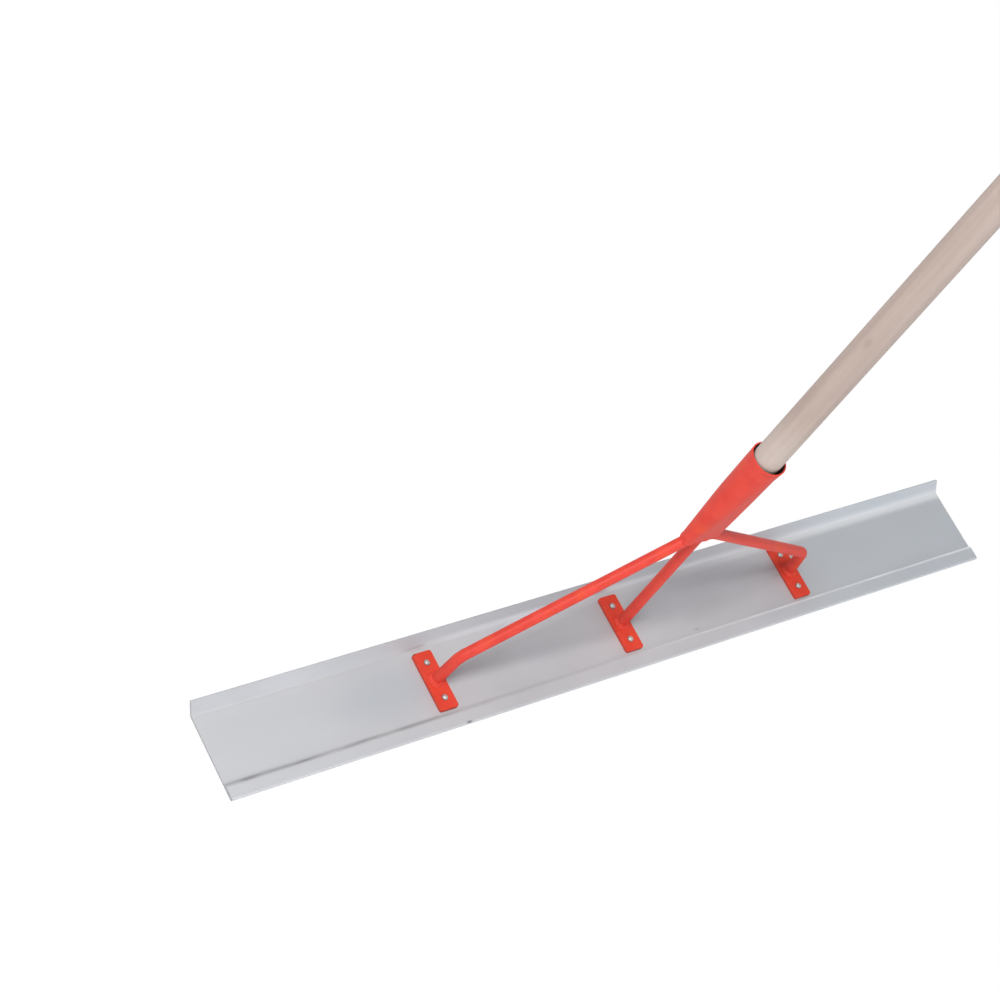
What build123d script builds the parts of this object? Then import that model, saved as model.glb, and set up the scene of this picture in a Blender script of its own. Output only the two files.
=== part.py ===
from build123d import *
import math
import os

# Screed bar: a folded aluminium blade carried by a welded steel bracket on a long wooden handle.
# Millimetres. X runs along the blade, Y across it, Z up the handle.
# The origin is on the blade's underside, the face that it stands on, below the middle foot.

# Blade: one sheet, hemmed along the scraping edge and turned up into a flange along the back edge.
BLADE_LENGTH = 1000.0
SCRAPING_EDGE_Y = -53.0
BACK_EDGE_Y = 51.0
SHEET = 2.0
HEM_WIDTH = 16.0
HEM_GAP = 0.4
FLANGE_RUN = 10.8
FLANGE_RISE = 13.5
FOLD_RADIUS = 3.0

# Feet: three flat bars across the web, each held by two rivets.
FOOT_SPACING = 239.0
FOOT_LENGTH = 66.0
FOOT_WIDTH = 22.0
FOOT_THICKNESS = 5.0
FOOT_CORNER = 2.5

# Rivets: solid, with a low head on the foot and hammered flush under the blade.
RIVET_PITCH = 40.5
RIVET_DIAMETER = 4.0
RIVET_HEAD_DIAMETER = 7.0
RIVET_HEAD_HEIGHT = 2.2
RIVET_CLEARANCE = 0.05

# Bracket bars: round bar, two bent arms and one straight stay, all in the plane Y = 0.
# The arms are cut upright at the top and butt against the stay, inside the socket's pinched end.
BAR_DIAMETER = 12.0
ELBOW_X = 230.7
ELBOW_Z = 50.3
ARM_LINES_MEET_Z = 196.3
ELBOW_RADIUS = 17.0
STAY_TOP_Z = 226.3
BAR_GAP = 0.1

# Socket: steel tube, pinched flat over the bars at its base, which draws its mouth to an upended oval.
# Outside widths run along the blade and depths across it. The mouth sits a little in front of the handle's
# line. The tube is cut to length after it is pinched.
SOCKET_WALL = 1.6
SOCKET_BASE_Z = 190.5
SOCKET_BASE_WIDTH = 48.4
SOCKET_PINCH_GAP = 12.4
SOCKET_MOUTH_Z = 333.2
SOCKET_MOUTH_WIDTH = 33.8
SOCKET_MOUTH_DEPTH = 39.0
SOCKET_FLAT = 1.2
SOCKET_LEAN = 0.8
SOCKET_TRIM = 4.0

# Handle: straight round pole, tapered to a blunt point where it is driven into the socket.
HANDLE_DIAMETER = 30.0
HANDLE_LENGTH = 1500.0
HANDLE_BOTTOM_Z = 263.2
HANDLE_SEAT_GAP = 0.1
HANDLE_TOP_ROUND = 9.0

# Handle screw: low-headed wood screw through the back of the socket.
SCREW_BELOW_MOUTH = 44.0
SCREW_SHANK_DIAMETER = 4.0
SCREW_HEAD_DIAMETER = 8.0
SCREW_HEAD_HEIGHT = 3.0
SCREW_LENGTH = 20.0
SCREW_CLEARANCE = 0.1
SCREW_SEAT_GAP = 0.05

# Weld beads.
FOOT_BEAD_WIDTH = 2.0
FOOT_BEAD_HEIGHT = 2.4
SOCKET_BEAD_HEIGHT = 4.0
SOCKET_BEAD_LENGTH = 32.0
SOCKET_BEAD_ROUND = 5.0

# Values worked out from the driving dimensions.
BAR_RADIUS = BAR_DIAMETER / 2
RIVET_RADIUS = RIVET_DIAMETER / 2
FOOT_TOP_Z = SHEET + FOOT_THICKNESS
FOOT_PLACES = {"left": -FOOT_SPACING, "middle": 0.0, "right": FOOT_SPACING}
SOCKET_BASE_DEPTH = SOCKET_PINCH_GAP + 2 * SOCKET_WALL
BASE_RADIUS = (SOCKET_BASE_DEPTH - SOCKET_FLAT) / 2
MOUTH_RADIUS = (SOCKET_MOUTH_WIDTH - SOCKET_FLAT) / 2


def upright(radius, bottom, top):
    """Solid cylinder on the Z axis from one height to another."""
    return Pos(0, 0, bottom) * Cylinder(
        radius, top - bottom, align=(Align.CENTER, Align.CENTER, Align.MIN)
    )


def turned(*outline):
    """Solid turned round the Z axis from an outline of (radius, height) points."""
    return revolve(Plane.XZ * make_face(Polyline(*outline, close=True)), axis=Axis.Z)


def rivet_spots(foot_x):
    """Centres of one foot's two rivets, on the blade's underside."""
    return [Pos(foot_x, side * RIVET_PITCH / 2, 0) for side in (-1, 1)]


def rivet_shank(clearance=0.0):
    """Shank through the blade and a foot; with clearance it cuts their hole."""
    return upright(RIVET_RADIUS + clearance, 0, FOOT_TOP_Z)


def rivets():
    """The two rivets of each foot."""
    head = upright(RIVET_HEAD_DIAMETER / 2, FOOT_TOP_Z, FOOT_TOP_Z + RIVET_HEAD_HEIGHT)
    rivet = rivet_shank() + head
    return Compound(
        children=[spot * rivet for foot_x in FOOT_PLACES.values() for spot in rivet_spots(foot_x)]
    )


def blade():
    """Sheet folded back on itself along one edge and turned up along the other, drilled under the feet."""
    hem_top = 2 * SHEET + HEM_GAP
    nose_radius = hem_top / 2
    nose_y = SCRAPING_EDGE_Y + nose_radius
    flap = Line((SCRAPING_EDGE_Y + HEM_WIDTH, hem_top), (nose_y, hem_top))
    nose = JernArc((nose_y, hem_top), (-1, 0), nose_radius, 180)
    underside = FilletPolyline(
        (nose_y, 0),
        (BACK_EDGE_Y - FLANGE_RUN, 0),
        (BACK_EDGE_Y, FLANGE_RISE),
        radius=FOLD_RADIUS + SHEET,
    )
    outside = Wire([flap, nose, *underside.edges()])
    section = make_face(outside.offset_2d(SHEET, side=Side.LEFT))
    sheet = extrude(Plane.YZ * section, amount=BLADE_LENGTH / 2, both=True)
    for foot_x in FOOT_PLACES.values():
        for spot in rivet_spots(foot_x):
            sheet -= spot * rivet_shank(RIVET_CLEARANCE)
    return sheet


def foot_plate(foot_x):
    """Flat bar across the web, with rounded corners and two rivet holes."""
    plate = Pos(foot_x, 0, SHEET) * Box(
        FOOT_WIDTH, FOOT_LENGTH, FOOT_THICKNESS, align=(Align.CENTER, Align.CENTER, Align.MIN)
    )
    plate = fillet(plate.edges().filter_by(Axis.Z), FOOT_CORNER)
    for spot in rivet_spots(foot_x):
        plate -= spot * rivet_shank(RIVET_CLEARANCE)
    return plate


def leg_plane(side):
    """Plane at the foot of an arm's leg, its Z axis along the leg, which leans in towards the middle."""
    run = side * (ELBOW_X - FOOT_SPACING)
    rise = ELBOW_Z - FOOT_TOP_Z
    return Plane(origin=(side * FOOT_SPACING, 0, FOOT_TOP_Z), x_dir=(rise, 0, -run), z_dir=(run, 0, rise))


def above_foot(shape):
    """The part of a shape that stands above the feet."""
    return split(shape, Plane.XY.offset(FOOT_TOP_Z), keep=Keep.TOP)


def arm(side):
    """Round bar: leg, elbow and a sloping run up to the stay."""
    toe = leg_plane(side).from_local_coords((0, 0, -BAR_DIAMETER))
    line = Plane.XZ * FilletPolyline(
        (toe.X, toe.Z),
        (side * ELBOW_X, ELBOW_Z),
        (0, ARM_LINES_MEET_Z),
        radius=ELBOW_RADIUS,
    )
    bar = sweep(Plane(line @ 0, z_dir=line % 0) * Circle(BAR_RADIUS), path=line)
    stay_side = Plane(origin=(side * (BAR_RADIUS + BAR_GAP), 0, 0), z_dir=(side, 0, 0))
    return above_foot(split(bar, stay_side, keep=Keep.TOP))


def middle_stay():
    """Straight bar from the middle foot up between the arms."""
    return upright(BAR_RADIUS, FOOT_TOP_Z, STAY_TOP_Z)


def foot_bead():
    """Fillet weld round a bar, its toe on the XY plane and its slope carried on below."""
    return turned(
        (BAR_RADIUS, FOOT_BEAD_HEIGHT),
        (BAR_RADIUS, -FOOT_BEAD_HEIGHT),
        (BAR_RADIUS + 2 * FOOT_BEAD_WIDTH, -FOOT_BEAD_HEIGHT),
    )


def foot_weld(foot_x):
    """Weld bead in line with the bar that stands on the foot, trimmed by the foot's top."""
    if foot_x == 0:
        return above_foot(Pos(0, 0, FOOT_TOP_Z) * foot_bead())
    return above_foot(leg_plane(math.copysign(1, foot_x)) * foot_bead())


def socket_size(z, base, mouth):
    """A size of the socket at height z, when it changes evenly from its base to its mouth."""
    return base + (mouth - base) * (z - SOCKET_BASE_Z) / (SOCKET_MOUTH_Z - SOCKET_BASE_Z)


def socket_radius(z):
    """Outside radius of the tube's four rounded corners at height z."""
    return socket_size(z, BASE_RADIUS, MOUTH_RADIUS)


def socket_back(z):
    """Distance from the bars' plane to the outside of the socket's back at height z."""
    return socket_size(z, SOCKET_BASE_DEPTH / 2, SOCKET_MOUTH_DEPTH / 2 - SOCKET_LEAN)


def corner_centre(side, front, z):
    """Centre of one rounded corner of the tube at height z."""
    half_width = socket_size(z, SOCKET_BASE_WIDTH, SOCKET_MOUTH_WIDTH) / 2
    half_depth = socket_size(z, SOCKET_BASE_DEPTH, SOCKET_MOUTH_DEPTH) / 2
    radius = socket_radius(z)
    middle_y = -socket_size(z, 0, SOCKET_LEAN)
    return Vector(side * (half_width - radius), middle_y + front * (half_depth - radius), z)


def pinched_tube(inset):
    """Solid of the pinched tube's outside, or of its bore when it is inset by the wall.

    Each rounded corner is a quarter of a cone on a leaning centre line; flat sides join the four.
    """
    low = SOCKET_BASE_Z - SOCKET_TRIM
    high = SOCKET_MOUTH_Z + SOCKET_TRIM
    low_radius = socket_radius(low) - inset
    high_radius = socket_radius(high) - inset
    corners = []
    rims = []
    for side, front in ((-1, -1), (-1, 1), (1, -1), (1, 1)):
        start = corner_centre(side, front, low)
        line = corner_centre(side, front, high) - start
        first_way = (side, 0, 0) if side == front else (0, front, 0)
        place = Plane(origin=start, x_dir=first_way, z_dir=line)
        corners.append(place * Cone(low_radius, high_radius, line.length, arc_size=90, align=Align.NONE))
        for radius, height in ((low_radius, 0), (high_radius, line.length)):
            rims += [place.from_local_coords(rim) for rim in ((radius, 0, height), (0, radius, height))]
    return ConvexPolyhedron(rims) + corners


def handle_socket():
    """Pinched tube cut square at both ends and drilled at the back for the handle screw."""
    tube = pinched_tube(0) - pinched_tube(SOCKET_WALL)
    tube = split(tube, Plane.XY.offset(SOCKET_BASE_Z), keep=Keep.TOP)
    tube = split(tube, Plane.XY.offset(SOCKET_MOUTH_Z), keep=Keep.BOTTOM)
    return tube - screw_plane() * screw_shank(SCREW_CLEARANCE)


def socket_weld():
    """Weld beads along the bottom of the socket's two flats, over the three bars."""
    inner = BAR_RADIUS + BAR_GAP
    outer = SOCKET_BASE_DEPTH / 2
    low = SOCKET_BASE_Z - SOCKET_BEAD_HEIGHT
    bead = make_face(
        [
            Line((inner, low), (inner, SOCKET_BASE_Z)),
            Line((inner, SOCKET_BASE_Z), (outer, SOCKET_BASE_Z)),
            RadiusArc((outer, SOCKET_BASE_Z), (inner, low), SOCKET_BEAD_ROUND),
        ]
    )
    back = extrude(Plane.YZ * bead, SOCKET_BEAD_LENGTH / 2, both=True)
    return Compound(children=[back, mirror(back, Plane.XZ)])


def screw_plane():
    """Plane on the flat at the back of the socket, its Z axis pointing straight out of the flat."""
    z = SOCKET_MOUTH_Z - SCREW_BELOW_MOUTH
    slope = socket_back(z + 1) - socket_back(z)
    return Plane(origin=(0, socket_back(z) + SCREW_SEAT_GAP, z), x_dir=(1, 0, 0), z_dir=(0, 1, -slope))


def screw_shank(clearance=0.0):
    """Shank behind the head; with clearance it cuts the screw's hole."""
    return upright(SCREW_SHANK_DIAMETER / 2 + clearance, -SCREW_LENGTH - clearance, 0)


def handle_screw():
    """Screw with a low round head on the socket's back flat."""
    head = upright(SCREW_HEAD_DIAMETER / 2, 0, SCREW_HEAD_HEIGHT)
    return screw_plane() * (head + screw_shank())


def handle():
    """Round pole with a rounded top, tapered below the mouth until it jams in the socket."""
    radius = HANDLE_DIAMETER / 2
    end_radius = socket_back(HANDLE_BOTTOM_Z) - SOCKET_WALL - HANDLE_SEAT_GAP
    top = HANDLE_BOTTOM_Z + HANDLE_LENGTH
    pole = turned(
        (0, HANDLE_BOTTOM_Z), (end_radius, HANDLE_BOTTOM_Z), (radius, SOCKET_MOUTH_Z), (radius, top), (0, top)
    )
    pole = fillet(pole.edges().sort_by(Axis.Z)[-1], HANDLE_TOP_ROUND)
    return pole - screw_plane() * screw_shank(SCREW_CLEARANCE)


pieces = {
    "blade": blade(),
    "rivets": rivets(),
    "left_arm": arm(-1),
    "right_arm": arm(1),
    "middle_stay": middle_stay(),
    "handle_socket": handle_socket(),
    "socket_weld": socket_weld(),
    "handle": handle(),
    "handle_screw": handle_screw(),
}
for side, foot_x in FOOT_PLACES.items():
    pieces[f"{side}_foot_plate"] = foot_plate(foot_x)
    pieces[f"{side}_foot_weld"] = foot_weld(foot_x)

os.makedirs("parts", exist_ok=True)
for name, shape in pieces.items():
    export_step(shape, f"parts/{name}.step")
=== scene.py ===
import bmesh
import bpy
import math
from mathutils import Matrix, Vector


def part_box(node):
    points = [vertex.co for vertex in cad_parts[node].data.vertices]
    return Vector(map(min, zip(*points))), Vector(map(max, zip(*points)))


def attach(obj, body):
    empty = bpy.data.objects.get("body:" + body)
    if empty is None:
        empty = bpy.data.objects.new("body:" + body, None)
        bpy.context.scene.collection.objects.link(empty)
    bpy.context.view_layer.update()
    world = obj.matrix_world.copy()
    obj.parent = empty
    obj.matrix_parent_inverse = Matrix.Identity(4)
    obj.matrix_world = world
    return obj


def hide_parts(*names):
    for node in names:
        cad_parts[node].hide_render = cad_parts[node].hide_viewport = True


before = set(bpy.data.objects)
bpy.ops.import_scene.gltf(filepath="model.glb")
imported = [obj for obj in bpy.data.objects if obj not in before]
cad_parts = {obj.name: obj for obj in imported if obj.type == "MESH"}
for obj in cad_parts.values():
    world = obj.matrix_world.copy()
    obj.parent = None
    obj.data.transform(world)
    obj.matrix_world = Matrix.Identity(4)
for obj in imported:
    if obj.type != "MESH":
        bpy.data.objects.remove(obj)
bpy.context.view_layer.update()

# Blade
# One strip of 2 mm aluminium sheet, bare from the rolling mill. The scraping edge is hemmed: the sheet is
# folded back flat on itself on a press, which leaves a blunt round nose. The back edge is turned up into a
# flange that stiffens the strip.
SHEET = 0.002
HEM_WIDTH = 0.016
NOSE_RADIUS = 0.0022
NOSE_STEPS = 12
FLANGE_RUN = 0.0108
FLANGE_RISE = 0.0135
FOLD_RADIUS = 0.005
FOLD_STEPS = 10
BLADE_STEPS = 80
DEBURR = 0.0003
EASED_STEPS = 2
SHARP_ANGLE = math.radians(40)
NEAR = 1e-5
blade_low, blade_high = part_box("blade")


def pick(kind, test):
    """Selects only those edges or faces, of the piece in edit mode, whose corners all pass the test."""
    bpy.ops.mesh.select_mode(type={"edges": "EDGE", "faces": "FACE"}[kind])
    bpy.ops.mesh.select_all(action="DESELECT")
    mesh = bmesh.from_edit_mesh(bpy.context.edit_object.data)
    for element in getattr(mesh, kind):
        element.select_set(all(test(corner.co) for corner in element.verts))
    bmesh.update_edit_mesh(bpy.context.edit_object.data)


def pick_along(axis):
    """Selects only those edges, of the piece in edit mode, that run along an axis, named x, y or z."""
    bpy.ops.mesh.select_mode(type="EDGE")
    bpy.ops.mesh.select_all(action="DESELECT")
    mesh = bmesh.from_edit_mesh(bpy.context.edit_object.data)
    for edge in mesh.edges:
        start, end = (getattr(corner.co, axis) for corner in edge.verts)
        edge.select_set(abs(start - end) > NEAR)
    bmesh.update_edit_mesh(bpy.context.edit_object.data)


def pull(*way):
    """Extrudes the selection by a distance along X, Y and Z."""
    bpy.ops.mesh.extrude_region_move(TRANSFORM_OT_translate={"value": way})


def apply_modifier(piece, kind, **settings):
    """Adds a modifier to the active piece and applies it."""
    modifier = piece.modifiers.new(kind, kind)
    for name, value in settings.items():
        setattr(modifier, name, value)
    bpy.ops.object.modifier_apply(modifier=modifier.name)


def ease_edges(piece, width):
    """Rounds the sharp edges of the active piece a little, and shades the rest smooth."""
    apply_modifier(
        piece, "BEVEL", width=width, segments=EASED_STEPS, limit_method="ANGLE", angle_limit=SHARP_ANGLE
    )
    bpy.ops.object.shade_smooth_by_angle(angle=SHARP_ANGLE)


nose_y = blade_low.y + NOSE_RADIUS
fold_y = blade_high.y - FLANGE_RUN
bpy.ops.object.select_all(action="DESELECT")
bpy.ops.mesh.primitive_plane_add(size=1, location=(0, (nose_y + fold_y) / 2, 0))
blade = bpy.context.object
blade.name = "folded_blade"
blade.scale = (blade_high.x - blade_low.x, fold_y - nose_y, 1)
bpy.ops.object.transform_apply()
bpy.ops.object.mode_set(mode="EDIT")
pick("edges", lambda at: abs(at.y - fold_y) < NEAR)
pull(0, FLANGE_RUN, FLANGE_RISE)
pick("edges", lambda at: abs(at.y - fold_y) < NEAR)
fold_angle = math.atan2(FLANGE_RISE, FLANGE_RUN)
fold_reach = FOLD_RADIUS * math.tan(fold_angle / 2)
bpy.ops.mesh.bevel(offset=fold_reach, segments=FOLD_STEPS, affect="EDGES", clamp_overlap=False)
pick("edges", lambda at: abs(at.y - nose_y) < NEAR)
bpy.ops.mesh.spin(steps=NOSE_STEPS, angle=math.pi, center=(0, nose_y, NOSE_RADIUS), axis=(1, 0, 0))
pull(0, HEM_WIDTH - NOSE_RADIUS, 0)
pick_along("x")
bpy.ops.mesh.subdivide(number_cuts=BLADE_STEPS - 1)
bpy.ops.object.mode_set(mode="OBJECT")
apply_modifier(blade, "SOLIDIFY", thickness=SHEET, offset=1, use_even_offset=True)
ease_edges(blade, DEBURR)
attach(blade, "root")
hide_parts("blade")

MILL_DARK = (0.518, 0.522, 0.543, 1)
MILL_LIGHT = (0.568, 0.573, 0.593, 1)
MILL_PAINTED_REFLECTION = (0.565, 0.602, 0.64, 1)
MILL_PAINTED_LIGHT = (0.605, 0.61, 0.632, 1)
MILL_FILM = (0.485, 0.51, 0.55, 1)
MILL_PAINTED_SHADE = (0.375, 0.38, 0.40, 1)
HEM_PAINTED_SHADE = (0.24, 0.24, 0.25, 1)
HEM_PAINTED_HIGHLIGHT = (0.95, 0.96, 0.97, 1)
FOLD_SHEEN = (0.88, 0.89, 0.90, 1)
SAWN_END = (0.44, 0.44, 0.45, 1)
NICK_DARK = (0.10, 0.10, 0.10, 1)
SMUDGE_GREY = (0.26, 0.25, 0.25, 1)


def node(tree, kind, inputs, **settings):
    """Adds a shader node, fills its inputs with values or with other nodes' outputs, and returns it."""
    made = tree.nodes.new("ShaderNode" + kind)
    for name, value in settings.items():
        setattr(made, name, value)
    for key, value in inputs.items():
        if isinstance(value, bpy.types.NodeSocket):
            tree.links.new(value, made.inputs[key])
        else:
            made.inputs[key].default_value = value
    return made


def noise(tree, where, bumps, detail, roughness=0.5):
    """Noise over a piece's own coordinates, with that many bumps to a metre along X, Y and Z."""
    place = node(tree, "Mapping", {"Vector": where, "Scale": bumps}).outputs[0]
    return node(
        tree, "TexNoise", {"Vector": place, "Scale": 1.0, "Detail": detail, "Roughness": roughness}
    ).outputs[0]


def remap(tree, value, to, over=(0.3, 0.7)):
    """Spreads a value from one range, which suits noise if none is given, to another, with soft ends."""
    return node(
        tree,
        "MapRange",
        {"Value": value, "From Min": over[0], "From Max": over[1], "To Min": to[0], "To Max": to[1]},
        interpolation_type="SMOOTHSTEP",
    ).outputs[0]


def times(tree, first, second):
    """Product of two values."""
    return node(tree, "Math", {0: first, 1: second}, operation="MULTIPLY").outputs[0]


def size_of(tree, value):
    """A value without its sign."""
    return node(tree, "Math", {0: value}, operation="ABSOLUTE").outputs[0]


def band(tree, value, middle, reach):
    """1 where a value is at the middle, falling softly to 0 at the reach on both sides."""
    off = node(tree, "Math", {0: value, 1: middle}, operation="SUBTRACT").outputs[0]
    return remap(tree, size_of(tree, off), to=(1, 0), over=(0, reach))


def spot(tree, where, place, squeeze, core, reach, share=1):
    """A share within a core round a place, falling softly to 0 at the reach; less squeeze makes it longer."""
    off = node(tree, "VectorMath", {0: where, 1: place}, operation="SUBTRACT").outputs[0]
    off = node(tree, "VectorMath", {0: off, 1: squeeze}, operation="MULTIPLY").outputs[0]
    off = node(tree, "VectorMath", {0: off}, operation="LENGTH").outputs["Value"]
    return remap(tree, off, to=(share, 0), over=(core, reach))


def mix(tree, share, first, second):
    """Mixes two colours."""
    return node(tree, "Mix", {0: share, 6: first, 7: second}, data_type="RGBA").outputs[2]


def start_finish(name):
    """A new material, its node tree, its main shader and its piece's own coordinates."""
    finish = bpy.data.materials.new(name)
    finish.use_nodes = True
    tree = finish.node_tree
    where = node(tree, "TexCoord", {}).outputs["Object"]
    return finish, tree, tree.nodes["Principled BSDF"], where


def rolled_aluminium():
    """Mill finish: fine rolling lines and cloudy patches, with painted light, shade, reflection, sheen and
    highlights.
    """
    finish, tree, shader, where = start_finish("rolled_aluminium")
    x, y, z = node(tree, "SeparateXYZ", {0: where}).outputs
    lines = noise(tree, where, bumps=(6, 900, 900), detail=4)
    clouds = noise(tree, where, bumps=(9, 16, 16), detail=3)
    waves = noise(tree, where, bumps=(4, 9, 9), detail=1)
    specks = noise(tree, where, bumps=(30, 160, 160), detail=2)
    tone = mix(tree, remap(tree, clouds, to=(0, 1)), MILL_DARK, MILL_LIGHT)

    # Painted reflection: the blade takes a cool, bluish cast towards the right end.
    painted_reflection_at_right_end = remap(tree, x, to=(0, 0.7), over=(0.08, 0.42))
    tone = mix(tree, painted_reflection_at_right_end, tone, MILL_PAINTED_REFLECTION)
    # Painted light: the web grows paler towards the left end.
    painted_light_at_left_end = remap(tree, x, to=(0.75, 0), over=(-0.45, -0.15))
    on_web = remap(tree, y, to=(1, 0), over=(0.034, 0.042))
    tone = mix(tree, times(tree, painted_light_at_left_end, on_web), tone, MILL_PAINTED_LIGHT)
    film = spot(
        tree, where, place=(-0.29, 0.002, 0.002), squeeze=(0.4, 1, 1), core=0.008, reach=0.038, share=0.7
    )
    tone = mix(tree, film, tone, MILL_FILM)
    # Painted shade: the flange darkens along its middle.
    on_flange = remap(tree, y, to=(0, 0.9), over=(0.041, 0.044))
    painted_flange_shade = times(tree, band(tree, x, middle=-0.02, reach=0.36), on_flange)
    tone = mix(tree, painted_flange_shade, tone, MILL_PAINTED_SHADE)

    hem_edge = blade_low.y + HEM_WIDTH
    above_sole = remap(tree, z, to=(0, 1), over=(0.0006, 0.0016))
    broken = times(tree, remap(tree, specks, to=(0.45, 1)), above_sole)
    # Painted shade: a dark line in the crease at the hem's edge, towards the left end, broken by specks.
    painted_shade_left_part = remap(tree, x, to=(1, 0), over=(-0.45, 0.02))
    painted_crease_shade = times(tree, band(tree, y, middle=hem_edge, reach=0.0038), painted_shade_left_part)
    tone = mix(tree, times(tree, painted_crease_shade, broken), tone, HEM_PAINTED_SHADE)
    # Painted highlight: a bright line along the hem's edge, towards the right end, broken by specks.
    highlight_right_part = remap(tree, x, to=(0, 1), over=(-0.05, 0.32))
    painted_hem_highlight = times(tree, band(tree, y, middle=hem_edge, reach=0.0026), highlight_right_part)
    tone = mix(tree, times(tree, painted_hem_highlight, broken), tone, HEM_PAINTED_HIGHLIGHT)
    # Painted sheen: a pale strip on the web beside the far fold, stronger towards the right end.
    bright_part = remap(tree, x, to=(0, 0.75), over=(0, 0.4))
    strip = times(tree, band(tree, y, middle=0.037, reach=0.008), bright_part)
    tone = mix(tree, strip, tone, FOLD_SHEEN)

    sawn = remap(tree, size_of(tree, x), to=(0, 1), over=(0.4992, 0.4997))
    tone = mix(tree, sawn, tone, SAWN_END)
    nick = spot(
        tree,
        where,
        place=(-0.2247, -0.0518, 0.0044),
        squeeze=(0.45, 1, 1),
        core=0.0006,
        reach=0.0022,
        share=0.7,
    )
    tone = mix(tree, nick, tone, NICK_DARK)
    smudge = spot(
        tree,
        where,
        place=(0.0883, -0.0305, 0.002),
        squeeze=(0.4, 1, 1),
        core=0.0004,
        reach=0.0022,
        share=0.3,
    )
    tone = mix(tree, smudge, tone, SMUDGE_GREY)
    tree.links.new(tone, shader.inputs["Base Color"])
    tree.links.new(remap(tree, lines, to=(0.48, 0.6)), shader.inputs["Roughness"])
    shader.inputs["Metallic"].default_value = 0.28
    wavy = node(tree, "Bump", {"Height": waves, "Strength": 0.25, "Distance": 0.002}).outputs[0]
    ruled = node(tree, "Bump", {"Height": lines, "Normal": wavy, "Strength": 0.1, "Distance": 0.0001})
    tree.links.new(ruled.outputs[0], shader.inputs["Normal"])
    return finish


blade.data.materials.append(rolled_aluminium())

# Foot plates
# Three short lengths of 22 x 5 mm flat steel bar, cropped, with the corners knocked round. They lie across
# the web, two rivets each, and carry the bracket. Brush-painted red after welding.
FOOT_CORNER = 0.0025
FOOT_CORNER_STEPS = 5
FOOT_EDGE = 0.0006
SIDES = {"left": -1, "middle": 0, "right": 1}
foot_low, foot_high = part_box("middle_foot_plate")
foot_spacing = sum(corner.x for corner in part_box("right_foot_plate")) / 2


def choose(piece):
    """Selects one piece and nothing else, and makes it the active one."""
    bpy.ops.object.select_all(action="DESELECT")
    piece.select_set(True)
    bpy.context.view_layer.objects.active = piece


def copy_to(piece, place):
    """A copy of a piece, with a mesh of its own, moved by a distance along X, Y and Z."""
    choose(piece)
    bpy.ops.object.duplicate()
    bpy.ops.transform.translate(value=place)
    bpy.ops.object.transform_apply()
    return bpy.context.object


def copies(piece, name):
    """Copies a piece of the middle foot to the other two feet, and returns all three by side."""
    placed = {"middle": piece}
    piece.name = f"middle_{name}"
    for side in ("left", "right"):
        placed[side] = copy_to(piece, (SIDES[side] * foot_spacing, 0, 0))
        placed[side].name = f"{side}_{name}"
    return placed


bpy.ops.object.select_all(action="DESELECT")
bpy.ops.mesh.primitive_cube_add(size=1, location=(foot_low + foot_high) / 2)
foot = bpy.context.object
foot.scale = foot_high - foot_low
bpy.ops.object.transform_apply()
bpy.ops.object.mode_set(mode="EDIT")
pick_along("z")
bpy.ops.mesh.bevel(offset=FOOT_CORNER, segments=FOOT_CORNER_STEPS, affect="EDGES")
bpy.ops.object.mode_set(mode="OBJECT")
ease_edges(foot, FOOT_EDGE)

RED_DARK = (0.66, 0.042, 0.026, 1)
RED_LIGHT = (0.735, 0.060, 0.037, 1)
RED_THIN = (0.72, 0.070, 0.018, 1)
RED_PAINTED_BOUNCE = (0.70, 0.052, 0.020, 1)
SEAM_PAINTED_SHADE = (0.16, 0.02, 0.014, 1)
CORNER_SPOT_DARK = (0.09, 0.02, 0.018, 1)


def red_enamel():
    """Thick uneven enamel with thin orange patches, painted bounce light low down, painted shade where the
    feet meet the web, and one dark spot.
    """
    finish, tree, shader, where = start_finish("red_enamel")
    z = node(tree, "SeparateXYZ", {0: where}).outputs[2]
    clouds = noise(tree, where, bumps=(60, 60, 60), detail=3)
    thin = noise(tree, where, bumps=(35, 35, 35), detail=2)
    peel = noise(tree, where, bumps=(500, 500, 500), detail=2)
    tone = mix(tree, remap(tree, clouds, to=(0, 1)), RED_DARK, RED_LIGHT)
    tone = mix(tree, remap(tree, thin, to=(0, 0.7), over=(0.55, 0.75)), tone, RED_THIN)
    # Painted bounce light: low on the pieces the red turns warmer towards the feet.
    tone = mix(tree, remap(tree, z, to=(0.55, 0), over=(0.0075, 0.012)), tone, RED_PAINTED_BOUNCE)
    # Painted shade along the lower edges of the feet, where they meet the web.
    tone = mix(tree, remap(tree, z, to=(0.55, 0), over=(0.002, 0.0045)), tone, SEAM_PAINTED_SHADE)
    # A dark spot at the far left corner of the left foot.
    dark_corner_spot = spot(tree, where, place=(-0.2495, 0.0325, 0.0065), squeeze=(0.5, 1, 1), core=0.0005, reach=0.002)
    tone = mix(tree, dark_corner_spot, tone, CORNER_SPOT_DARK)
    tree.links.new(tone, shader.inputs["Base Color"])
    tree.links.new(remap(tree, clouds, to=(0.52, 0.62)), shader.inputs["Roughness"])
    shader.inputs["Specular IOR Level"].default_value = 0.35
    rough = node(tree, "Bump", {"Height": peel, "Strength": 0.15, "Distance": 0.0003})
    tree.links.new(rough.outputs[0], shader.inputs["Normal"])
    return finish


enamel = red_enamel()
foot.data.materials.append(enamel)
feet = copies(foot, "flat_foot")
for side, foot in feet.items():
    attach(foot, "root")
    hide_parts(f"{side}_foot_plate")

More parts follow.
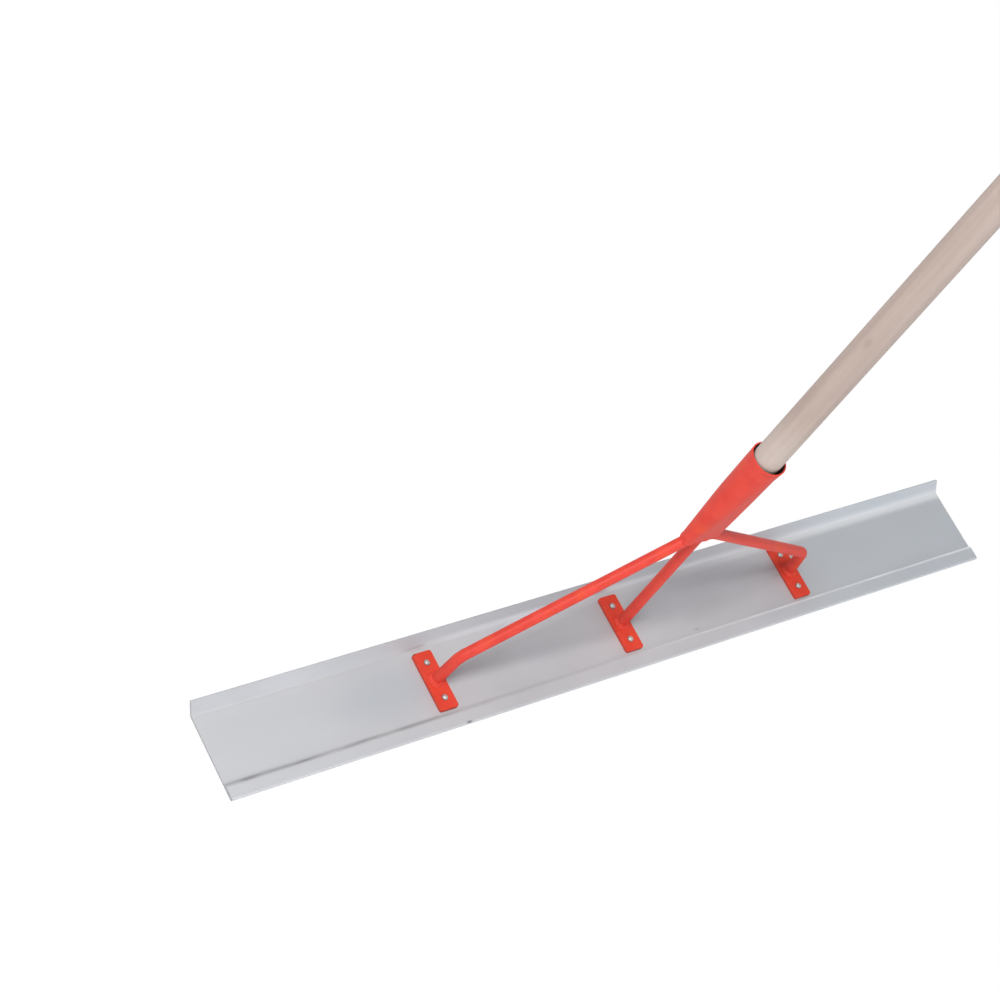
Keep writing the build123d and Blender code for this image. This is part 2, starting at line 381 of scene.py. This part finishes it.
# Arms
# Two lengths of 12 mm round steel bar, bent cold at the elbow, the second a mirror image of the first. Each
# leg stands on its foot and leans in a little, and the long run slopes up to the middle stay.
BAR_RADIUS = 0.006
BAR_SIDES = 40
BAR_OVERRUN = 0.012
BAR_GAP = 0.0001
ELBOW = Vector((0.2307, 0, 0.0503))
ELBOW_RADIUS = 0.017
ELBOW_STEPS = 12
RUNS_MEET = Vector((0, 0, 0.1963))
CUT_NEAR = 1e-6
foot_top = foot_high.z
foot_point = Vector((foot_spacing, 0, foot_top))
leg = (ELBOW - foot_point).normalized()
run = (RUNS_MEET - ELBOW).normalized()
bend = leg.angle(run)
bend_reach = ELBOW_RADIUS * math.tan(bend / 2)
bend_start = ELBOW - leg * bend_reach
bend_centre = bend_start + (run - run.project(leg)).normalized() * ELBOW_RADIUS
toe = foot_point - leg * BAR_OVERRUN


def trim(at, keep):
    """Cuts the piece in edit mode with a plane, closes the cut and keeps the side that keep points to."""
    bpy.ops.mesh.select_all(action="SELECT")
    bpy.ops.mesh.bisect(plane_co=at, plane_no=keep, use_fill=True, clear_inner=True, threshold=CUT_NEAR)


def close_shape():
    """Merges the doubled corners of the piece in edit mode and turns its faces outwards."""
    bpy.ops.mesh.select_all(action="SELECT")
    bpy.ops.mesh.remove_doubles(threshold=NEAR)
    bpy.ops.mesh.normals_make_consistent(inside=False)


bpy.ops.object.select_all(action="DESELECT")
bpy.ops.mesh.primitive_circle_add(
    vertices=BAR_SIDES,
    radius=BAR_RADIUS,
    fill_type="NGON",
    location=toe,
    rotation=(0, math.atan2(leg.x, leg.z), 0),
)
right_arm = bpy.context.object
right_arm.name = "right_bent_arm"
bpy.ops.object.transform_apply()
bpy.ops.object.mode_set(mode="EDIT")
bpy.ops.mesh.select_all(action="SELECT")
pull(*(bend_start - toe))
bpy.ops.mesh.spin(steps=ELBOW_STEPS, angle=bend, center=bend_centre, axis=run.cross(leg).normalized())
pull(*(RUNS_MEET + run * BAR_OVERRUN - ELBOW - run * bend_reach))
trim((0, 0, foot_top), (0, 0, 1))
trim((BAR_RADIUS + BAR_GAP, 0, 0), (1, 0, 0))
close_shape()
bpy.ops.object.mode_set(mode="OBJECT")
bpy.ops.object.shade_smooth_by_angle(angle=SHARP_ANGLE)
right_arm.data.materials.append(enamel)
bpy.ops.object.duplicate()
left_arm = bpy.context.object
left_arm.name = "left_bent_arm"
left_arm.scale.x = -1
bpy.ops.object.transform_apply()
bpy.ops.object.mode_set(mode="EDIT")
close_shape()
bpy.ops.object.mode_set(mode="OBJECT")
for side, arm in (("left", left_arm), ("right", right_arm)):
    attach(arm, "root")
    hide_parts(f"{side}_arm")

# Middle stay
# A straight length of the same bar, cropped at the top with its edge broken. It stands on the middle foot
# and runs up between the two arms into the socket.
STAY_CHAMFER = 0.001
stay_low, stay_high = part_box("middle_stay")
bpy.ops.object.select_all(action="DESELECT")
bpy.ops.mesh.primitive_circle_add(
    vertices=BAR_SIDES, radius=BAR_RADIUS, fill_type="NGON", location=(0, 0, stay_low.z)
)
stay = bpy.context.object
stay.name = "straight_stay"
bpy.ops.object.transform_apply()
bpy.ops.object.mode_set(mode="EDIT")
bpy.ops.mesh.select_all(action="SELECT")
pull(0, 0, stay_high.z - stay_low.z)
bpy.ops.mesh.bevel(offset=STAY_CHAMFER, segments=1, affect="EDGES")
close_shape()
bpy.ops.object.mode_set(mode="OBJECT")
bpy.ops.object.shade_smooth_by_angle(angle=SHARP_ANGLE)
stay.data.materials.append(enamel)
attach(stay, "root")
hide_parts("middle_stay")

# Foot welds
# A fillet weld runs once round the bottom of each bar and joins it to its foot. The weld metal froze in
# small overlapping puddles of uneven size, and the paint lies over it.
FOOT_PUDDLES = 22
FOOT_ROWS = ((0.0074, 0.0002, 0.0019), (0.0061, 0.0024, 0.0016))
FOOT_WANDER = 0.0004
FOOT_WAVES = 3
FOOT_WAVE_START = 1
FOOT_UNEVEN = 0.14
PUDDLE_RHYTHM = 5
PUDDLE_DETAIL = 3
WELD_GRAIN = 0.0004
WELD_SOFTENING = 8
WELD_SHARP_ANGLE = math.radians(60)
SOFTENING_PULL = 0.5


def uneven(step, share):
    """How large a puddle is beside the plain one; it swings by that share from step to step."""
    return 1 + share * math.sin(PUDDLE_RHYTHM * step)


def weld_bead(puddles):
    """Puddles of weld metal, each a place and a radius, laid one over the next and run together."""
    drops = []
    for place, radius in puddles:
        bpy.ops.object.select_all(action="DESELECT")
        bpy.ops.mesh.primitive_ico_sphere_add(subdivisions=PUDDLE_DETAIL, radius=radius, location=place)
        drops.append(bpy.context.object)
    for drop in drops:
        drop.select_set(True)
    bpy.ops.object.join()
    bead = bpy.context.object
    bpy.ops.object.transform_apply()
    apply_modifier(bead, "REMESH", mode="VOXEL", voxel_size=WELD_GRAIN)
    apply_modifier(bead, "SMOOTH", factor=SOFTENING_PULL, iterations=WELD_SOFTENING)
    bead.data.materials.append(enamel)
    return bead


foot_puddles = []
for turn in range(FOOT_PUDDLES):
    angle = 2 * math.pi * turn / FOOT_PUDDLES
    for out, height, radius in FOOT_ROWS:
        out += FOOT_WANDER * math.sin(FOOT_WAVES * angle + FOOT_WAVE_START)
        place = Vector((out * math.cos(angle), out * math.sin(angle), foot_top + height))
        foot_puddles.append((place, radius * uneven(turn, FOOT_UNEVEN)))
bead = weld_bead(foot_puddles)
bpy.ops.object.mode_set(mode="EDIT")
trim((0, 0, foot_top), (0, 0, 1))
bpy.ops.object.mode_set(mode="OBJECT")
bpy.ops.object.shade_smooth_by_angle(angle=WELD_SHARP_ANGLE)
for side, bead in copies(bead, "foot_bead").items():
    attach(bead, "root")
    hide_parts(f"{side}_foot_weld")

# Handle socket
# Steel tube, squeezed flat at its lower end over the three bars. The mouth, a little in front of the
# handle's line, is belled to an upright oval. Painted outside; the bore is bare steel, near-black partly as
# painted shade.
SOCKET_WALL = 0.0016
SOCKET_SIDES = 64
SOCKET_STEPS = 12
SOCKET_RIM = 0.0004
SOCKET_SOFTENING = 5
socket_low, socket_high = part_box("handle_socket")
# Each section is its height, its outside width and depth, and how far back its middle lies.
socket_sections = (
    (socket_low.z, 0.0484, 0.0156, 0),
    (0.264, 0.0424, 0.0294, 0.0004),
    (0.316, 0.0364, 0.0368, 0),
    (socket_high.z, 0.0344, 0.0390, -0.0008),
)
rings = []
for height, width, depth, back in socket_sections:
    radius = min(width, depth) / 2
    bpy.ops.object.select_all(action="DESELECT")
    bpy.ops.mesh.primitive_circle_add(vertices=SOCKET_SIDES, radius=radius, location=(0, 0, height))
    bpy.ops.object.transform_apply()
    bpy.ops.object.mode_set(mode="EDIT")
    for way in (-1, 1):
        pick("edges", lambda at: way * at.x > -NEAR)
        bpy.ops.transform.translate(value=(way * (width / 2 - radius), 0, 0))
        pick("edges", lambda at: way * at.y > -NEAR)
        bpy.ops.transform.translate(value=(0, way * (depth / 2 - radius), 0))
    bpy.ops.mesh.select_all(action="SELECT")
    bpy.ops.transform.translate(value=(0, back, 0))
    bpy.ops.object.mode_set(mode="OBJECT")
    rings.append(bpy.context.object)
for ring in rings:
    ring.select_set(True)
bpy.ops.object.join()
socket = bpy.context.object
socket.name = "pinched_socket"
bpy.ops.object.mode_set(mode="EDIT")
bpy.ops.mesh.select_all(action="SELECT")
bpy.ops.mesh.bridge_edge_loops(type="SINGLE", number_cuts=SOCKET_STEPS, interpolation="LINEAR")
close_shape()
bpy.ops.mesh.flip_normals()
pick("faces", lambda at: socket_low.z + NEAR < at.z < socket_high.z - NEAR)
bpy.ops.mesh.vertices_smooth(factor=SOFTENING_PULL, repeat=SOCKET_SOFTENING)
bpy.ops.object.mode_set(mode="OBJECT")
socket.data.materials.append(enamel)

# The bore's near-black colour is partly painted shade inside the tube.
BORE_DARK = (0.035, 0.012, 0.010, 1)
BORE_RUST = (0.08, 0.024, 0.019, 1)


def bare_steel_and_bore_shade():
    """Unpainted steel with a little rust, near-black partly as painted shade inside the bore."""
    finish, tree, shader, where = start_finish("bare_steel_and_bore_shade")
    scale = noise(tree, where, bumps=(90, 90, 40), detail=3)
    tone = mix(tree, remap(tree, scale, to=(0, 1)), BORE_DARK, BORE_RUST)
    tree.links.new(tone, shader.inputs["Base Color"])
    tree.links.new(remap(tree, scale, to=(0.55, 0.75)), shader.inputs["Roughness"])
    return finish


socket.data.materials.append(bare_steel_and_bore_shade())
apply_modifier(
    socket, "SOLIDIFY", thickness=SOCKET_WALL, offset=-1, use_even_offset=True, material_offset=1
)
rim_reach = SOCKET_WALL / 3
bpy.ops.object.mode_set(mode="EDIT")
for end in (socket_low.z, socket_high.z):
    pick("faces", lambda at: abs(at.z - end) < rim_reach)
    bpy.ops.transform.resize(value=(1, 1, 0), center_override=(0, 0, end))
bpy.ops.object.mode_set(mode="OBJECT")
ease_edges(socket, SOCKET_RIM)
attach(socket, "root")
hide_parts("handle_socket")

# Socket welds
# Two beads close the pinched end on the three bars. Each runs along one flat and nearly halfway round both
# corners. The second is a mirror image of the first, and both are under the paint.
BEAD_RUN = 0.0338
BEAD_DROP = 0.001
BEAD_PUDDLE = 0.0023
BEAD_PUDDLES = 16
BEAD_UNEVEN = 0.1
CORNER_PUDDLES = 4
CORNER_REACH = 0.0054
CORNER_DROP = 0.0008
bead_y = -BAR_RADIUS - BAR_GAP
bead_z = socket_low.z - BEAD_DROP
bead_places = []
for step in range(BEAD_PUDDLES):
    bead_places.append((BEAD_RUN * (step / (BEAD_PUDDLES - 1) - 0.5), bead_y, bead_z))
# The last puddle stops half a step short of the corner's middle, where the other bead's begins.
corner_steps = CORNER_PUDDLES + 0.5
for way in (-1, 1):
    for step in range(1, CORNER_PUDDLES + 1):
        angle = math.pi / 2 * step / corner_steps
        along = way * (BEAD_RUN / 2 + CORNER_REACH * math.sin(angle))
        bead_places.append((along, bead_y * math.cos(angle), bead_z - CORNER_DROP * math.sin(angle)))
front_bead = weld_bead(
    [(place, BEAD_PUDDLE * uneven(step, BEAD_UNEVEN)) for step, place in enumerate(bead_places)]
)
front_bead.name = "front_socket_bead"
bpy.ops.object.shade_smooth()
bpy.ops.object.duplicate()
back_bead = bpy.context.object
back_bead.name = "back_socket_bead"
back_bead.scale.y = -1
bpy.ops.object.transform_apply()
bpy.ops.object.mode_set(mode="EDIT")
close_shape()
bpy.ops.object.mode_set(mode="OBJECT")
for bead in (front_bead, back_bead):
    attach(bead, "root")
    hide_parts("socket_weld")

# Rivets
# Six solid aluminium rivets, set after painting, so their round heads are bare. Their holes go through the
# feet and the blade together, and their tails are hammered flush with the blade's underside.
RIVET_PITCH = 0.0405
RIVET_RADIUS = 0.002
RIVET_HEAD_RADIUS = 0.0035
RIVET_HEAD_HEIGHT = 0.0022
RIVET_HOLE_RADIUS = 0.00205
RIVET_TAIL_EDGE = 0.0002
RIVET_RINGS = 24
SMALL_ROUND_SIDES = 32
drill_length = 4 * foot_top
rivet_ball = (RIVET_HEAD_RADIUS**2 + RIVET_HEAD_HEIGHT**2) / (2 * RIVET_HEAD_HEIGHT)
rivet_places = [
    (side * foot_spacing, way * RIVET_PITCH / 2, 0) for side in SIDES.values() for way in (-1, 1)
]


def six_of(piece):
    """Copies a piece to the six places of the rivets, joins the copies and removes the first."""
    made = [copy_to(piece, place) for place in rivet_places]
    bpy.data.objects.remove(piece)
    choose(made[0])
    for copy in made:
        copy.select_set(True)
    bpy.ops.object.join()
    return bpy.context.object


bpy.ops.object.select_all(action="DESELECT")
bpy.ops.mesh.primitive_cylinder_add(
    vertices=SMALL_ROUND_SIDES,
    radius=RIVET_HOLE_RADIUS,
    depth=drill_length,
    location=(0, 0, foot_top / 2),
)
drill = six_of(bpy.context.object)
for piece in (blade, *feet.values()):
    choose(piece)
    apply_modifier(piece, "BOOLEAN", operation="DIFFERENCE", solver="EXACT", object=drill)
    apply_modifier(piece, "WEIGHTED_NORMAL", keep_sharp=True)
bpy.data.objects.remove(drill)

bpy.ops.object.select_all(action="DESELECT")
bpy.ops.mesh.primitive_uv_sphere_add(
    segments=SMALL_ROUND_SIDES,
    ring_count=RIVET_RINGS,
    radius=rivet_ball,
    location=(0, 0, foot_top + RIVET_HEAD_HEIGHT - rivet_ball),
)
rivet = bpy.context.object
bpy.ops.object.transform_apply()
bpy.ops.object.mode_set(mode="EDIT")
trim((0, 0, foot_top), (0, 0, 1))
pick("faces", lambda at: at.z < foot_top + NEAR)
bpy.ops.mesh.inset(thickness=RIVET_HEAD_RADIUS - RIVET_RADIUS)
pull(0, 0, -foot_top)
bpy.ops.mesh.bevel(offset=RIVET_TAIL_EDGE, segments=EASED_STEPS, affect="EDGES")
close_shape()
bpy.ops.object.mode_set(mode="OBJECT")
rivets = six_of(rivet)
rivets.name = "round_rivets"
bpy.ops.object.shade_smooth_by_angle(angle=SHARP_ANGLE)
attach(rivets, "root")
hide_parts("rivets")

RIVET_DARK = (0.40, 0.41, 0.40, 1)
RIVET_LIGHT = (0.54, 0.55, 0.53, 1)
RIVET_PAINTED_SHADE = (0.07, 0.035, 0.03, 1)


def hammered_aluminium():
    """Bare aluminium, dented by the rivet set, with painted shade round the foot of each head."""
    finish, tree, shader, where = start_finish("hammered_aluminium")
    z = node(tree, "SeparateXYZ", {0: where}).outputs[2]
    dents = noise(tree, where, bumps=(700, 700, 700), detail=2)
    tone = mix(tree, remap(tree, dents, to=(0, 1)), RIVET_DARK, RIVET_LIGHT)
    # Painted shade: each head darkens towards its foot.
    below_dome = remap(tree, z, to=(0.9, 0), over=(foot_top, foot_top + 0.0014))
    above_tail = remap(tree, z, to=(0, 1), over=(0.004, 0.0065))
    tone = mix(tree, times(tree, below_dome, above_tail), tone, RIVET_PAINTED_SHADE)
    tree.links.new(tone, shader.inputs["Base Color"])
    tree.links.new(remap(tree, dents, to=(0.4, 0.5)), shader.inputs["Roughness"])
    shader.inputs["Metallic"].default_value = 0.5
    rough = node(tree, "Bump", {"Height": dents, "Strength": 0.3, "Distance": 0.0003})
    tree.links.new(rough.outputs[0], shader.inputs["Normal"])
    return finish


rivets.data.materials.append(hammered_aluminium())

# Handle
# A straight round pole of pale close-grained wood, turned and sanded but not varnished. Its lower end is
# tapered and driven into the socket, and its top is rounded.
HANDLE_SIDES = 64
HANDLE_END_RADIUS = 0.01165
HANDLE_TOP_ROUND = 0.009
HANDLE_TOP_STEPS = 8
handle_low, handle_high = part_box("handle")
handle_radius = handle_high.x
bpy.ops.object.select_all(action="DESELECT")
bpy.ops.mesh.primitive_circle_add(
    vertices=HANDLE_SIDES, radius=HANDLE_END_RADIUS, fill_type="NGON", location=(0, 0, handle_low.z)
)
handle = bpy.context.object
handle.name = "wooden_pole"
bpy.ops.object.transform_apply()
bpy.ops.object.mode_set(mode="EDIT")
bpy.ops.mesh.select_all(action="SELECT")
pull(0, 0, socket_high.z - handle_low.z)
widen = handle_radius / HANDLE_END_RADIUS
bpy.ops.transform.resize(value=(widen, widen, 1), center_override=(0, 0, socket_high.z))
pull(0, 0, handle_high.z - socket_high.z)
bpy.ops.mesh.bevel(offset=HANDLE_TOP_ROUND, segments=HANDLE_TOP_STEPS, affect="EDGES")
close_shape()
bpy.ops.object.mode_set(mode="OBJECT")
bpy.ops.object.shade_smooth_by_angle(angle=SHARP_ANGLE)
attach(handle, "root")
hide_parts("handle")

WOOD_DARK = (0.425, 0.313, 0.263, 1)
WOOD_LIGHT = (0.505, 0.395, 0.338, 1)
WOOD_PATCH = (0.55, 0.455, 0.398, 1)
WOOD_PALER_LOW = (0.63, 0.53, 0.462, 1)
WOOD_KNOT = (0.36, 0.25, 0.19, 1)


def sanded_wood():
    """Pale wood with long soft grain, fine pores and one small knot, paler just above the socket."""
    finish, tree, shader, where = start_finish("sanded_wood")
    z = node(tree, "SeparateXYZ", {0: where}).outputs[2]
    grain = noise(tree, where, bumps=(90, 90, 2.5), detail=4, roughness=0.6)
    pores = noise(tree, where, bumps=(1200, 1200, 30), detail=2)
    patches = noise(tree, where, bumps=(12, 12, 4), detail=2)
    tone = mix(tree, remap(tree, grain, to=(0, 1)), WOOD_DARK, WOOD_LIGHT)
    tone = mix(tree, remap(tree, patches, to=(0, 0.35)), tone, WOOD_PATCH)
    tone = mix(tree, remap(tree, z, to=(0.6, 0), over=(0.345, 0.43)), tone, WOOD_PALER_LOW)
    knot = spot(
        tree,
        where,
        place=(-0.0145, -0.0039, 0.537),
        squeeze=(1, 1, 0.45),
        core=0.001,
        reach=0.005,
        share=0.45,
    )
    tone = mix(tree, knot, tone, WOOD_KNOT)
    tree.links.new(tone, shader.inputs["Base Color"])
    shader.inputs["Roughness"].default_value = 0.65
    rough = node(tree, "Bump", {"Height": pores, "Strength": 0.2, "Distance": 0.0002})
    tree.links.new(rough.outputs[0], shader.inputs["Normal"])
    return finish


handle.data.materials.append(sanded_wood())

# Handle screw
# A slotted round-head wood screw through the flat at the back of the socket keeps the handle from pulling
# out. Zinc plated, put in after painting.
SCREW_HEAD_RADIUS = 0.004
SCREW_HEAD_HEIGHT = 0.0024
SCREW_DOME = SCREW_HEAD_HEIGHT * 0.8
SCREW_DOME_STEPS = 6
SCREW_SLOT = (0.012, 0.0011, 0.0022)
SCREW_SEAT = Vector((0, 0.0151, 0.2892))
SCREW_TILT = math.radians(-94.4)
bpy.ops.object.select_all(action="DESELECT")
bpy.ops.mesh.primitive_cylinder_add(
    vertices=SMALL_ROUND_SIDES,
    radius=SCREW_HEAD_RADIUS,
    depth=SCREW_HEAD_HEIGHT,
    location=(0, 0, SCREW_HEAD_HEIGHT / 2),
)
screw = bpy.context.object
screw.name = "slotted_screw"
bpy.ops.object.transform_apply()
bpy.ops.object.mode_set(mode="EDIT")
pick("edges", lambda at: at.z > SCREW_HEAD_HEIGHT - NEAR)
bpy.ops.mesh.bevel(offset=SCREW_DOME, segments=SCREW_DOME_STEPS, affect="EDGES")
bpy.ops.object.mode_set(mode="OBJECT")
bpy.ops.object.select_all(action="DESELECT")
bpy.ops.mesh.primitive_cube_add(size=1, location=(0, 0, SCREW_HEAD_HEIGHT), scale=SCREW_SLOT)
slot_cutter = bpy.context.object
choose(screw)
apply_modifier(screw, "BOOLEAN", operation="DIFFERENCE", solver="EXACT", object=slot_cutter)
bpy.data.objects.remove(slot_cutter)
screw.rotation_euler = (SCREW_TILT, 0, 0)
screw.location = SCREW_SEAT
bpy.ops.object.transform_apply()
bpy.ops.object.shade_smooth_by_angle(angle=SHARP_ANGLE)
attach(screw, "root")
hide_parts("handle_screw")

ZINC_DARK = (0.44, 0.45, 0.46, 1)
ZINC_LIGHT = (0.56, 0.57, 0.58, 1)


def zinc_plate():
    """Thin bright zinc, slightly cloudy."""
    finish, tree, shader, where = start_finish("zinc_plate")
    clouds = noise(tree, where, bumps=(300, 300, 300), detail=2)
    tone = mix(tree, remap(tree, clouds, to=(0, 1)), ZINC_DARK, ZINC_LIGHT)
    tree.links.new(tone, shader.inputs["Base Color"])
    tree.links.new(remap(tree, clouds, to=(0.3, 0.45)), shader.inputs["Roughness"])
    shader.inputs["Metallic"].default_value = 0.8
    return finish


screw.data.materials.append(zinc_plate())

# Floor and background
# The tool stands on a white studio floor that runs out to a white background. The floor keeps the soft
# shadow below the blade; the background is white only to the camera and in gloss.
FLOOR_SIZE = 16
FLOOR_DROP = 0.0005
FLOOR_PAINT = (0.9, 0.9, 0.9, 1)
FLOOR_ROUGHNESS = 0.9
FLOOR_GLOW = 1.02
FLOOR_GLOW_SHARE = 0.94
WHITE = (1, 1, 1, 1)


def background_rays(tree):
    """1 for rays that show the background: the camera's, and those in gloss and glass."""
    path = node(tree, "LightPath", {}).outputs
    plain = node(
        tree, "Math", {0: path["Is Camera Ray"], 1: path["Is Glossy Ray"]}, operation="MAXIMUM"
    ).outputs[0]
    return node(
        tree, "Math", {0: plain, 1: path["Is Transmission Ray"]}, operation="MAXIMUM"
    ).outputs[0]


bpy.ops.object.select_all(action="DESELECT")
bpy.ops.mesh.primitive_plane_add(size=FLOOR_SIZE, location=(0, 0, -FLOOR_DROP))
floor = bpy.context.object
floor.name = "studio_floor"
floor_paint = bpy.data.materials.new("studio_floor")
floor_paint.use_nodes = True
tree = floor_paint.node_tree
shader = tree.nodes["Principled BSDF"]
shader.inputs["Base Color"].default_value = FLOOR_PAINT
shader.inputs["Roughness"].default_value = FLOOR_ROUGHNESS
glow = node(tree, "Emission", {"Color": WHITE, "Strength": FLOOR_GLOW})
share = times(tree, background_rays(tree), FLOOR_GLOW_SHARE)
both = node(tree, "MixShader", {0: share, 1: shader.outputs[0], 2: glow.outputs[0]})
tree.links.new(both.outputs[0], tree.nodes["Material Output"].inputs["Surface"])
floor.data.materials.append(floor_paint)

# Light
# A soft box high on the left, further off than the camera, and a wide weak one low in front. The pale,
# slightly blue walls light all sides, and the ceiling is dark, in gloss too; the camera sees plain white.
LAMPS = (
    ("soft_box", Vector((-0.36, -0.075, 0.93)), 4.2, 1.22, 148, (1, 0.985, 0.97)),
    ("fill_box", Vector((0.1, -0.88, 0.43)), 3.0, 1.8, 13, (1, 1, 1)),
)
WALL_BLUE = (0.9, 0.99, 1.1, 1)
world = bpy.data.worlds.new("white_studio")
bpy.context.scene.world = world
world.use_nodes = True
tree = world.node_tree
height = node(tree, "SeparateXYZ", {0: node(tree, "TexCoord", {}).outputs["Generated"]}).outputs[2]
gloss = node(tree, "LightPath", {}).outputs["Is Glossy Ray"]
gloss_level = remap(tree, height, to=(1, 0.3), over=(0.25, 0.65))
shown_level = node(tree, "MapRange", {"Value": gloss, "To Min": 1.0, "To Max": gloss_level}).outputs[0]
light_level = remap(tree, height, to=(1.25, 0.08), over=(0.1, 0.6))
level = node(
    tree, "MapRange", {"Value": background_rays(tree), "To Min": light_level, "To Max": shown_level}
)
room = mix(tree, background_rays(tree), WALL_BLUE, WHITE)
tree.links.new(room, tree.nodes["Background"].inputs["Color"])
tree.links.new(level.outputs[0], tree.nodes["Background"].inputs["Strength"])
for name, way, distance, size, power, colour in LAMPS:
    bpy.ops.object.light_add(type="AREA", location=way * distance)
    lamp = bpy.context.object
    lamp.name = name
    lamp.data.size = size
    lamp.data.energy = power
    lamp.data.color = colour
    lamp.rotation_mode = "QUATERNION"
    lamp.rotation_quaternion = way.to_track_quat("Z", "Y")

# Camera
# A long lens from the front left, above the blade, rolled so that the upright handle runs to the picture's
# top right corner.
CAMERA_PLACE = (-1.57814, -0.71870, 2.06370)
CAMERA_TURN = [math.radians(angle) for angle in (34.16422, -23.23709, -29.41334)]
CAMERA_LENS = 92.0616
CAMERA_SENSOR = 36
bpy.ops.object.camera_add(location=CAMERA_PLACE, rotation=CAMERA_TURN)
camera = bpy.context.object
camera.data.lens = CAMERA_LENS
camera.data.sensor_width = CAMERA_SENSOR
bpy.context.scene.camera = camera
bpy.context.scene.view_settings.view_transform = "Standard"
